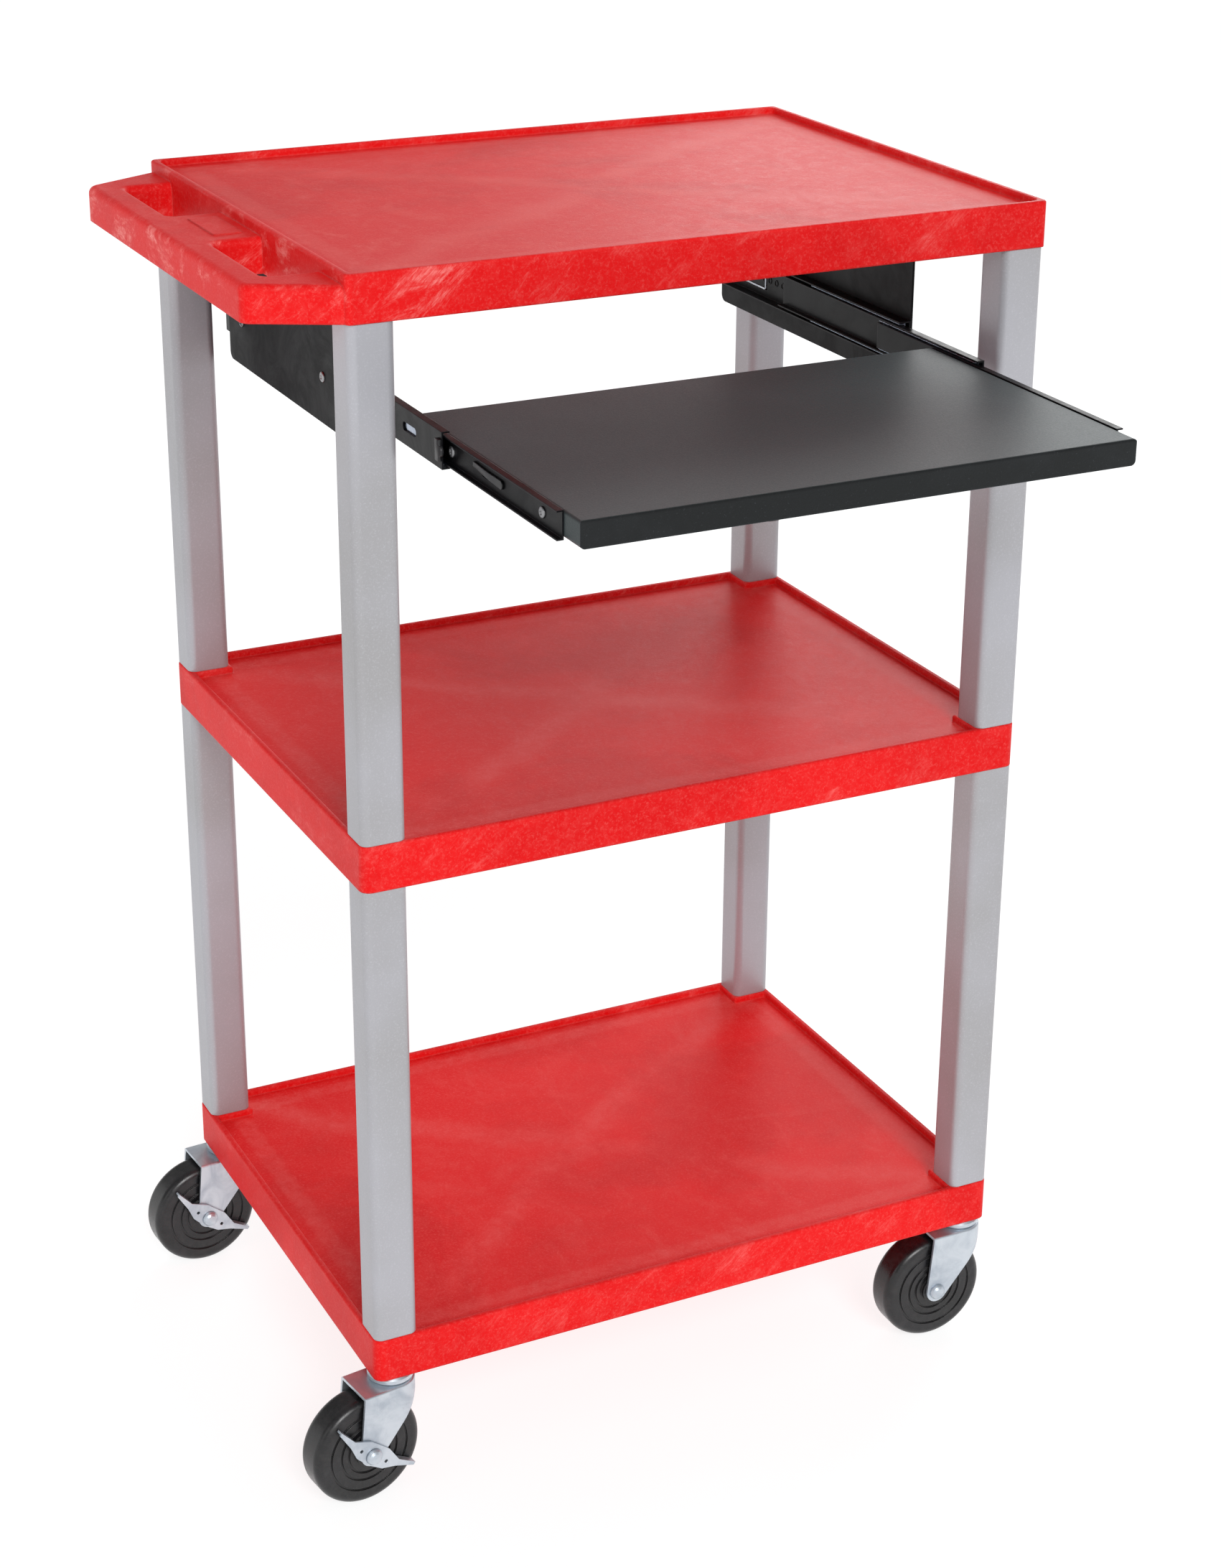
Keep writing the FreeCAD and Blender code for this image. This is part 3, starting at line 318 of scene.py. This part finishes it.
def makeShelfPlastic(name, settings):
    shade = Shade(name, settings)
    low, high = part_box("middle_shelf")
    halfLong, halfDeep = (high[0] - low[0]) / 2, (high[1] - low[1]) / 2
    x, y, z = shade.parts(shade.place)
    acrossX = shade.math("SUBTRACT", x, low[0] + halfLong)
    acrossY = shade.math("SUBTRACT", y, low[1] + halfDeep)
    fromX, fromY = shade.math("ABSOLUTE", acrossX), shade.math("ABSOLUTE", acrossY)
    facing = shade.parts(shade.add("ShaderNodeNewGeometry").outputs["Normal"])[2]
    deck = shade.span(facing, *settings["deckFacing"])

    # feathery swirls, thickest at the handle end of the top shelf's skirt
    swirl = settings["swirl"]
    amount = shade.times(shade.span(acrossX, *swirl["handleEnd"]), shade.span(z, *swirl["topShelf"]))
    amount = shade.math("MAXIMUM", amount, swirl["least"])
    amount = shade.times(amount, shade.span(deck, 0, 1, 1, swirl["onDeck"]))
    swirls = shade.times(*[shade.level(part) for part in swirl["levels"]], amount)

    # flow lines towards the corners of the decks, and finer ones that fan out
    ray, fan, band = settings["ray"], settings["fan"], settings["band"]
    long = math.hypot(halfLong, halfDeep)
    diagonal = shade.math("SUBTRACT", shade.times(fromX, halfDeep / long),
                          shade.times(fromY, halfLong / long))
    bent = shade.math("ABSOLUTE", shade.math("ADD", diagonal, shade.level(ray["warp"])))
    rays = shade.times(shade.span(bent, ray["width"], ray["core"]), shade.level(ray["clouds"]))
    turned = shade.add("ShaderNodeCombineXYZ")
    shade.put(turned.inputs[0], shade.times(shade.math("ARCTAN2", acrossY, acrossX), fan["spread"]))
    shade.put(turned.inputs[1], shade.math("ADD", fromX, fromY))
    fans = shade.span(shade.noise(where=turned.outputs[0], **fan["pattern"]), *fan["range"])
    rays = shade.math("MAXIMUM", rays, shade.times(fans, fan["share"]))
    rays = shade.times(rays, shade.level(ray["mottle"]))

    # a paler band inside the lips
    lipGap = shade.math("MINIMUM", shade.math("SUBTRACT", halfLong, fromX),
                        shade.math("SUBTRACT", halfDeep, fromY))
    bands = shade.times(shade.span(lipGap, *band["inner"]), shade.span(lipGap, *band["outer"]),
                        shade.level(band["mottle"]))
    flow = shade.times(deck, shade.math("ADD", shade.times(rays, ray["share"]),
                                        shade.times(bands, band["share"])))

    # painted sheen: the up-facing decks are made paler in feathery patches
    amount, share, tint = settings["deckSheen"]
    colour = shade.tinted(shade.toned(), shade.times(shade.level(amount), deck), share, tint)
    colour = shade.layered(colour)
    colour = shade.tinted(colour, swirls, swirl["share"], "chalk")
    return shade.closed(shade.mix(flow, colour, settings["chalk"]))


# Satin silver leg tube

legPlastic = {
    "base": linear(172, 172, 178),
    "shadow": linear(160, 159, 161),
    "fleck": linear(196, 197, 203),
    "surface": {"IOR": 1.5, "Metallic": 0.3},
    "patterns": {
        "clouds": {"scale": 6, "detail": 3, "rough": 0.5},
        "grain": {"scale": 1250, "detail": 3, "rough": 0.6},
        "specks": {"scale": 700, "detail": 2, "rough": 0.6, "distort": 0.2, "offset": 4.1},
    },
    "tones": (("clouds", 0.35, 0.7), "base", "shadow"),
    "layers": [(("specks", 0.5, 0.74), 0.35, "fleck")],
    "edge": {"radius": 0.0012, "share": 0.2, "tint": "fleck"},
    "rough": ("grain", 0.3, 0.7, 0.36, 0.46),
    "bumps": [("grain", 0.22, 0.00012), ("clouds", 0.05, 0.0012)],
}

# Textured black powder coat of the tray

trayEnamel = {
    "base": linear(13, 15, 17),
    "pit": linear(7, 8, 9),
    "crest": linear(78, 81, 87),
    "surface": {"IOR": 1.5, "Specular IOR Level": 0.24, "Sheen Weight": 0.22,
                "Sheen Roughness": 0.45, "Sheen Tint": (0.74, 0.97, 1.0)},
    "patterns": {
        "pebble": {"cells": 560},
        "fine": {"scale": 1000, "detail": 4, "rough": 0.7, "distort": 0.3},
        "wide": {"scale": 9, "detail": 5, "rough": 0.6, "distort": 0.5},
        "dots": {"scale": 520, "detail": 3, "rough": 0.75, "distort": 0.2, "offset": 3.3},
    },
    "tones": (("fine", 0.38, 0.6), "pit", "base"),
    "layers": [(("dots", 0.6, 0.76), 0.42, "crest"), (("wide", 0.45, 0.7), 0.08, "crest")],
    "edge": {"radius": 0.0011, "share": 0.5, "tint": "crest"},
    "rough": ("fine", 0.3, 0.7, 0.4, 0.54),
    "bumps": [("pebble", 0.2, 0.0002), ("fine", 0.2, 0.00015)],
}

# Black coated steel of the hangers, rubbed along the slides' travel and finer on the slides

bracketEnamel = {
    "base": linear(11, 11, 13),
    "scuff": linear(58, 60, 68),
    "surface": {"IOR": 1.5, "Specular IOR Level": 0.12},
    "patterns": {
        "fine": {"scale": 900, "detail": 4, "rough": 0.65, "distort": 0.2},
        "wide": {"scale": 22, "detail": 6, "rough": 0.7, "distort": 1.2},
        "specks": {"scale": 640, "detail": 2, "rough": 0.7, "distort": 0.2, "offset": 7.7},
        "rubbed": {"scale": 5, "detail": 8, "rough": 0.75, "distort": 0.6, "stretch": (60, 1, 60)},
    },
    "layers": [(("rubbed", 0.58, 0.76), 0.1, "scuff"), (("specks", 0.6, 0.76), 0.16, "scuff")],
    "edge": {"radius": 0.0008, "share": ("wide", 0.35, 0.7, 0.1, 0.6), "tint": "scuff"},
    "rough": ("wide", 0.3, 0.7, 0.42, 0.58),
    "bumps": [("fine", 0.22, 0.00018)],
}

slideSteel = {
    **bracketEnamel,
    "patterns": {**bracketEnamel["patterns"],
                 "fine": {"scale": 1500, "detail": 4, "rough": 0.65, "distort": 0.2}},
    "rough": ("wide", 0.3, 0.7, 0.28, 0.42),
}

# Zinc plate, with a faint blue cast and drifting haze

zincSteel = {
    "base": (0.60, 0.65, 0.70),
    "haze": (0.42, 0.47, 0.53),
    "dull": (0.28, 0.29, 0.31),
    "surface": {"Metallic": 0.82},
    "patterns": {
        "wide": {"scale": 34, "detail": 5, "rough": 0.6, "distort": 1.0},
        "spots": {"scale": 160, "detail": 5, "rough": 0.7, "distort": 0.6},
        "fine": {"scale": 900, "detail": 3, "rough": 0.6},
    },
    "tones": (("wide", 0.35, 0.7), "base", "haze"),
    "layers": [(("spots", 0.6, 0.78), 0.3, "dull")],
    "edge": {"radius": 0.0007, "share": 0.4, "tint": "base"},
    "rough": ("wide", 0.3, 0.7, 0.3, 0.44),
    "bumps": [("wide", 0.06, 0.0012), ("fine", 0.05, 0.0001)],
}

bushingSteel = {
    **zincSteel,
    "layers": [(("spots", 0.6, 0.78), 0.5, "dull")],
    "rough": ("wide", 0.3, 0.7, 0.3, 0.45),
}

screwSteel = {
    **zincSteel,
    "base": (0.34, 0.34, 0.35),
    "haze": (0.24, 0.24, 0.25),
    "dull": (0.14, 0.14, 0.15),
    "surface": {"Metallic": 1.0},
    "layers": [(("spots", 0.6, 0.78), 0.5, "dull")],
    "rough": ("wide", 0.3, 0.7, 0.28, 0.42),
}

ballSteel = {
    **zincSteel,
    "base": (0.40, 0.45, 0.54),
    "haze": (0.26, 0.30, 0.38),
    "dull": (0.12, 0.13, 0.16),
    "surface": {"Metallic": 1.0},
    "rough": ("wide", 0.3, 0.7, 0.16, 0.28),
}

# Hard rubber of the wheels, with worn patches, pits and paler edges

wheelRubber = {
    "base": linear(23, 22, 25),
    "dark": linear(12, 12, 13),
    "dust": linear(84, 81, 80),
    "surface": {"IOR": 1.5},
    "patterns": {
        "fine": {"scale": 820, "detail": 3, "rough": 0.65},
        "mid": {"scale": 120, "detail": 6, "rough": 0.7, "distort": 0.8},
        "wide": {"scale": 26, "detail": 5, "rough": 0.6, "distort": 0.5},
        "pits": {"scale": 330, "detail": 3, "rough": 0.6, "distort": 0.3, "offset": 4.4},
    },
    "tones": (("wide", 0.35, 0.68), "dark", "base"),
    "layers": [(("mid", 0.44, 0.68), 0.12, "dust"), (("pits", 0.66, 0.76), 0.3, "dust")],
    "edge": {"radius": 0.0009, "share": 0.18, "tint": "dust"},
    "rough": ("mid", 0.3, 0.7, 0.24, 0.38),
    "bumps": [("fine", 0.2, 0.00015), ("mid", 0.12, 0.0004)],
}

# Black plastic of the tray's knob and the slides' stops and levers

blackPlastic = {
    "base": linear(22, 22, 24),
    "pale": linear(64, 64, 68),
    "patterns": {
        "fine": {"scale": 900, "detail": 3, "rough": 0.6},
        "wide": {"scale": 60, "detail": 4, "rough": 0.6, "distort": 0.4},
    },
    "layers": [(("wide", 0.45, 0.7), 0.2, "pale")],
    "edge": {"radius": 0.0008, "share": 0.3, "tint": "pale"},
    "rough": ("wide", 0.3, 0.7, 0.28, 0.4),
    "bumps": [("fine", 0.15, 0.00012)],
}

materials = {
    "shelf_plastic": makeShelfPlastic("shelfPlastic", shelfPlastic),
    "leg_plastic": makeCoat("legPlastic", legPlastic),
    "tray_enamel": makeCoat("trayEnamel", trayEnamel),
    "bracket_enamel": makeCoat("bracketEnamel", bracketEnamel),
    "slide_steel": makeCoat("slideSteel", slideSteel),
    "ball_steel": makeCoat("ballSteel", ballSteel),
    "screw_steel": makeCoat("screwSteel", screwSteel),
    "black_plastic": makeCoat("blackPlastic", blackPlastic),
    "wheel_rubber": makeCoat("wheelRubber", wheelRubber),
    "bushing_steel": makeCoat("bushingSteel", bushingSteel),
    "zinc_steel": makeCoat("zincSteel", zincSteel),
}

for part in frame["record"]["subparts"]:
    node = frame["nodes"][part["node"]]
    for index in range(max(1, len(node.material_slots))):
        if not node.material_slots:
            node.data.materials.append(None)
        node.material_slots[index].material = materials[part["material_slot"]]
print("materials made", len(materials))

# Screws: pan heads with a cross recess

screwSettings = {
    "headRadius": 0.0045,
    "headHeight": 0.002,
    "crownFall": 0.86,
    "crownPower": 3.2,
    "rimShare": 0.28,
    "shankRadius": 0.002,
    "recessDepth": 0.0011,
    "recessHalf": 0.0023,
    "recessWidth": 0.00062,
    "recessSide": 1.5,
    "recessEnd": 1.2,
    "rings": 18,
    "steps": 48,
}


def clamped(value):
    return min(1.0, max(0.0, value))


def circle(radius, steps):
    angles = [2 * math.pi * step / steps for step in range(steps)]
    return [(radius * math.cos(angle), radius * math.sin(angle)) for angle in angles]


def headLevel(settings, share, x, y, turn):
    # the height of a screw's head at a place, with its turned cross recess
    level = settings["headHeight"] * settings["rimShare"]
    if share < 1:
        fall = settings["crownFall"] * share ** settings["crownPower"]
        level = settings["headHeight"] * math.sqrt(max(0.0, 1 - fall))
    crossX = x * math.cos(turn) + y * math.sin(turn)
    crossY = y * math.cos(turn) - x * math.sin(turn)
    narrow, along = sorted((abs(crossX), abs(crossY)))
    width = settings["recessWidth"]
    inside = clamped((width * settings["recessSide"] - narrow) / width)
    inside *= clamped((settings["recessHalf"] - along) / (width * settings["recessEnd"]))
    return level - settings["recessDepth"] * inside


def makeScrewMesh(settings, places, axis, depth, turns):
    # a group of equal screws as one mesh, each drawn with its head towards +Z
    mesh = bmesh.new()
    steps = settings["steps"]
    radius = settings["headRadius"]
    shankShare = settings["shankRadius"] / radius
    for place, turn in zip(places, turns):
        upright = Vector(axis).to_track_quat("Z", "Y").to_matrix().to_4x4()
        placed = Matrix.Translation(place) @ upright
        rows = []
        for ring in range(1, settings["rings"] + 1):
            share = ring / settings["rings"]
            rows.append([(x, y, headLevel(settings, share, x, y, turn))
                         for x, y in circle(radius * share, steps)])
        for share, level in ((1.0, 0.0), (shankShare, 0.0), (shankShare, -depth)):
            rows.append([(x, y, level) for x, y in circle(radius * share, steps)])
        rows = [[mesh.verts.new(placed @ Vector(point)) for point in row] for row in rows]
        for inner, outer in zip(rows, rows[1:]):
            for step in range(steps):
                after = (step + 1) % steps
                mesh.faces.new((inner[step], outer[step], outer[after], inner[after]))
        bottom = settings["headHeight"] - settings["recessDepth"]
        middle = mesh.verts.new(placed @ Vector((0, 0, bottom)))
        end = mesh.verts.new(placed @ Vector((0, 0, -depth)))
        for step in range(steps):
            after = (step + 1) % steps
            mesh.faces.new((middle, rows[0][step], rows[0][after]))
            mesh.faces.new((end, rows[-1][after], rows[-1][step]))
    bmesh.ops.recalc_face_normals(mesh, faces=mesh.faces)
    return mesh


sharpAngle = math.radians(42)


def addPiece(name, mesh, body, slotName):
    data = bpy.data.meshes.new(name)
    mesh.to_mesh(data)
    mesh.free()
    data.materials.append(materials[slotName])
    for face in data.polygons:
        face.use_smooth = True
    piece = bpy.data.objects.new(name, data)
    bpy.context.collection.objects.link(piece)
    data.set_sharp_from_angle(angle=sharpAngle)
    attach(piece, body)
    return piece


def makeScrews(node, body, axis, count):
    low, high = (Vector(corner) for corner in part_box(node))
    inset, height = screwSettings["headRadius"], screwSettings["headHeight"]
    facing = max(range(3), key=lambda index: abs(axis[index]))
    outer = (high if axis[facing] > 0 else low)[facing] - axis[facing] * height
    depth = high[facing] - low[facing] - height
    places = []
    for number in range(count):
        place = (low + high) / 2
        place.y = low.y + inset + (high.y - low.y - inset * 2) * number / (count - 1)
        place[facing] = outer
        places.append(place)
    turns = [random.uniform(0, math.pi / 2) for place in places]
    mesh = makeScrewMesh(screwSettings, places, axis, depth, turns)
    piece = addPiece(node + "_heads", mesh, body, "screw_steel")
    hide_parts(node)


for side, sideName in ((-1, "left"), (1, "right")):
    makeScrews(f"bracket_screws_{sideName}", "cart", (0, 0, -1), 3)
    makeScrews(f"slide_screws_{sideName}", "cart", (side, 0, 0), 2)
    makeScrews(f"tray_screws_{sideName}", "tray", (side, 0, 0), 2)
print("screws made")

# Small parts of the slides: end stops, release levers, a catch plate and eyelets

slideParts = {
    "middleWeb": 0.008,
    "outerWeb": 0.0115,
    "arcSteps": 10,
    "stop": {"setback": 0.0005, "reach": 0.008, "half": 0.0085, "bulge": 0.0045, "thick": 0.0024,
             "bevel": 0.0003},
    "lever": {"from": 0.098, "length": 0.052, "half": 0.0034, "lift": 0.0016, "thick": 0.0016,
              "standOff": 0.0014, "knee": 0.5, "kneeTop": 0.5, "kneeUnder": 0.6, "endTop": 0.4,
              "endUnder": 0.2, "bevel": 0.00025},
    "catch": {"fromBack": 0.060, "length": 0.042, "half": 0.0105, "rim": 0.0018, "thick": 0.0007,
              "rivet": 0.0019, "rivetSides": 24, "rivetsAt": (0.32, 0.68), "bevel": 0.0002},
    "eyelets": {"fromBack": (0.098, 0.109, 0.121, 0.133), "radius": 0.0026, "rim": 0.0006,
                "rimSides": 8, "steps": 28},
}


def plateMesh(outline, near, far, bevel):
    # a plate whose outline is given in Y and Z, between two places in X
    mesh = bmesh.new()
    loops = [[mesh.verts.new((place, y, z)) for y, z in outline] for place in (near, far)]
    for loop in loops:
        mesh.faces.new(loop)
    for number in range(len(outline)):
        after = (number + 1) % len(outline)
        mesh.faces.new((loops[0][number], loops[0][after], loops[1][after], loops[1][number]))
    bmesh.ops.recalc_face_normals(mesh, faces=mesh.faces)
    bmesh.ops.bevel(mesh, geom=mesh.edges[:], offset=bevel, segments=2, affect="EDGES", profile=0.5)
    return mesh


def joined(meshes):
    whole = bmesh.new()
    for mesh in meshes:
        data = bpy.data.meshes.new("part")
        mesh.to_mesh(data)
        mesh.free()
        whole.from_mesh(data)
        bpy.data.meshes.remove(data)
    return whole


def arc(middleY, middleZ, radius, first, last, steps):
    angles = [math.radians(first + (last - first) * step / steps) for step in range(steps + 1)]
    return [(middleY + radius * math.cos(angle), middleZ + radius * math.sin(angle))
            for angle in angles]


def ringMesh(x, y, z, side, settings):
    # a rolled eyelet rim that stands off a web, its hole along X
    mesh = bmesh.new()
    sides, steps = settings["rimSides"], settings["steps"]
    section = [(settings["radius"] + across, out) for across, out in circle(settings["rim"], sides)]
    loops = [[mesh.verts.new((x + out * side, y + across * turnY, z + across * turnZ))
              for across, out in section] for turnY, turnZ in circle(1, steps)]
    for number, loop in enumerate(loops):
        following = loops[(number + 1) % steps]
        for corner in range(sides):
            after = (corner + 1) % sides
            mesh.faces.new((loop[corner], loop[after], following[after], following[corner]))
    bmesh.ops.recalc_face_normals(mesh, faces=mesh.faces)
    return mesh


def slideEnds(node):
    # the front and back ends of a slide member, and its middle height
    low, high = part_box(node)
    return low[1], high[1], (low[2] + high[2]) / 2


def makeStop(settings, trayEdge, side, sideName):
    front, _, level = slideEnds("slide_middle_" + sideName)
    stop = settings["stop"]
    web = trayEdge + side * settings["middleWeb"]
    front += stop["setback"]
    behind, half = front + stop["reach"], stop["half"]
    outline = [(behind, level + half), (front, level + half)]
    outline += arc(front, level, stop["bulge"], 90, 270, settings["arcSteps"])
    outline += [(front, level - half), (behind, level - half)]
    mesh = plateMesh(outline, web, web + side * stop["thick"], stop["bevel"])
    addPiece("slide_stop_" + sideName, mesh, "slide_middle_" + sideName, "black_plastic")


def makeLever(settings, trayEdge, side, sideName):
    front, _, level = slideEnds("slide_inner_" + sideName)
    lever = settings["lever"]
    half, lift = lever["half"], lever["lift"]
    start = front + lever["from"]
    knee, end = start + lever["length"] * lever["knee"], start + lever["length"]
    outline = arc(start + half, level, half, 270, 90, settings["arcSteps"])
    outline += [(knee, level + half * lever["kneeTop"] + lift),
                (end, level + half * lever["endTop"] + lift * 2),
                (end, level - half * lever["endUnder"] + lift),
                (knee, level - half * lever["kneeUnder"])]
    near = trayEdge + side * lever["standOff"]
    mesh = plateMesh(outline, near, near + side * lever["thick"], lever["bevel"])
    addPiece("slide_lever_" + sideName, mesh, "tray", "black_plastic")


def makeCatch(settings, trayEdge, side, sideName):
    _, end, level = slideEnds("slide_outer_" + sideName)
    catch = settings["catch"]
    web = trayEdge + side * settings["outerWeb"]
    inside = web - side * catch["thick"]
    half, rim = catch["half"], catch["rim"]
    back = end - catch["fromBack"]
    front = back - catch["length"]
    bars = [(front, front + rim, -half, half), (back - rim, back, -half, half),
            (front, back, half - rim, half), (front, back, -half, rim - half)]
    outlines = [[(first, level + under), (second, level + under), (second, level + over),
                 (first, level + over)] for first, second, under, over in bars]
    sides = catch["rivetSides"]
    for share in catch["rivetsAt"]:
        outlines.append(arc(front + catch["length"] * share, level, catch["rivet"], 0,
                            360 - 360 / sides, sides - 1))
    mesh = joined([plateMesh(outline, web, inside, catch["bevel"]) for outline in outlines])
    addPiece("slide_catch_" + sideName, mesh, "cart", "bushing_steel")


def makeEyelets(settings, trayEdge, side, sideName):
    _, end, level = slideEnds("slide_outer_" + sideName)
    eyelets = settings["eyelets"]
    web = trayEdge + side * settings["outerWeb"]
    mesh = joined([ringMesh(web, end - gap, level, side, eyelets) for gap in eyelets["fromBack"]])
    addPiece("slide_eyelets_" + sideName, mesh, "cart", "slide_steel")


for side, sideName in ((-1, "left"), (1, "right")):
    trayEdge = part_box("slide_inner_" + sideName)[0 if side > 0 else 1][0]
    for maker in (makeStop, makeLever, makeCatch, makeEyelets):
        maker(slideParts, trayEdge, side, sideName)
print("slide parts made")

# Floor, world and lights

floorPaint = {
    "base": (0.30, 0.30, 0.30),
    "worn": (0.2955, 0.2955, 0.2955),
    "surface": {"Specular IOR Level": 0.1, "Emission Color": (1, 1, 1), "Emission Strength": 0.80},
    "patterns": {
        "wide": {"scale": 1.2, "detail": 4, "rough": 0.5},
        "fine": {"scale": 180, "detail": 3, "rough": 0.5},
    },
    "tones": (("wide", 0.3, 0.7), "base", "worn"),
    "rough": 0.8,
    "bumps": [("fine", 0.04, 0.0004)],
}

studio = {
    "floorSize": 90,
    "wallRadius": 44,
    "wallHeight": 11,
    "wallSteps": 96,
    "world": (1.0, 1.0, 1.0),
    "worldStrength": 0.36,
    "sun": {"from": (-0.16, -1.0, 0.72), "strength": 1.75, "angle": 24},
    "lights": [
        {"name": "back", "place": (2.4, 2.3, 2.3), "target": (0.15, 0.1, 1.0),
         "size": 2.4, "power": 48},
        {"name": "left", "place": (-3.2, -0.8, 1.7), "target": (0.03, 0.0, 0.6),
         "size": 1.6, "power": 8},
    ],
}


def makeFloor(settings):
    material = makeCoat("floorPaint", floorPaint)
    half = settings["floorSize"] / 2
    corners = [(-half, -half, 0), (half, -half, 0), (half, half, 0), (-half, half, 0)]
    # a low round wall, far off, hides the horizon in level views
    steps = settings["wallSteps"]
    ring = circle(settings["wallRadius"], steps)
    wallPoints = [(x, y, z) for z in (0, settings["wallHeight"]) for x, y in ring]
    wallFaces = []
    for step in range(steps):
        after = (step + 1) % steps
        wallFaces.append((step, after, steps + after, steps + step))
    for name, points, faces in (("floor", corners, [(0, 1, 2, 3)]), ("wall", wallPoints, wallFaces)):
        mesh = bpy.data.meshes.new(name)
        mesh.from_pydata(points, [], faces)
        mesh.materials.append(material)
        piece = bpy.data.objects.new(name, mesh)
        bpy.context.collection.objects.link(piece)


def makeLight(name, place, target, size, power):
    data = bpy.data.lights.new(name, "AREA")
    data.shape = "SQUARE"
    data.size = size
    data.energy = power
    light = bpy.data.objects.new(name, data)
    light.location = place
    light.rotation_euler = (Vector(target) - Vector(place)).to_track_quat("-Z", "Y").to_euler()
    bpy.context.collection.objects.link(light)


def makeSun(settings):
    data = bpy.data.lights.new("sun", "SUN")
    data.energy = settings["strength"]
    data.angle = math.radians(settings["angle"])
    light = bpy.data.objects.new("sun", data)
    light.rotation_euler = (-Vector(settings["from"])).to_track_quat("-Z", "Y").to_euler()
    bpy.context.collection.objects.link(light)


def makeWorld(settings):
    world = bpy.data.worlds.new("studio")
    bpy.context.scene.world = world
    world.use_nodes = True
    background = world.node_tree.nodes["Background"]
    background.inputs["Color"].default_value = (*settings["world"], 1)
    background.inputs["Strength"].default_value = settings["worldStrength"]


makeFloor(studio)
makeWorld(studio)
makeSun(studio["sun"])
for light in studio["lights"]:
    makeLight(**light)
bpy.context.scene.view_settings.view_transform = "Standard"
print("studio made")
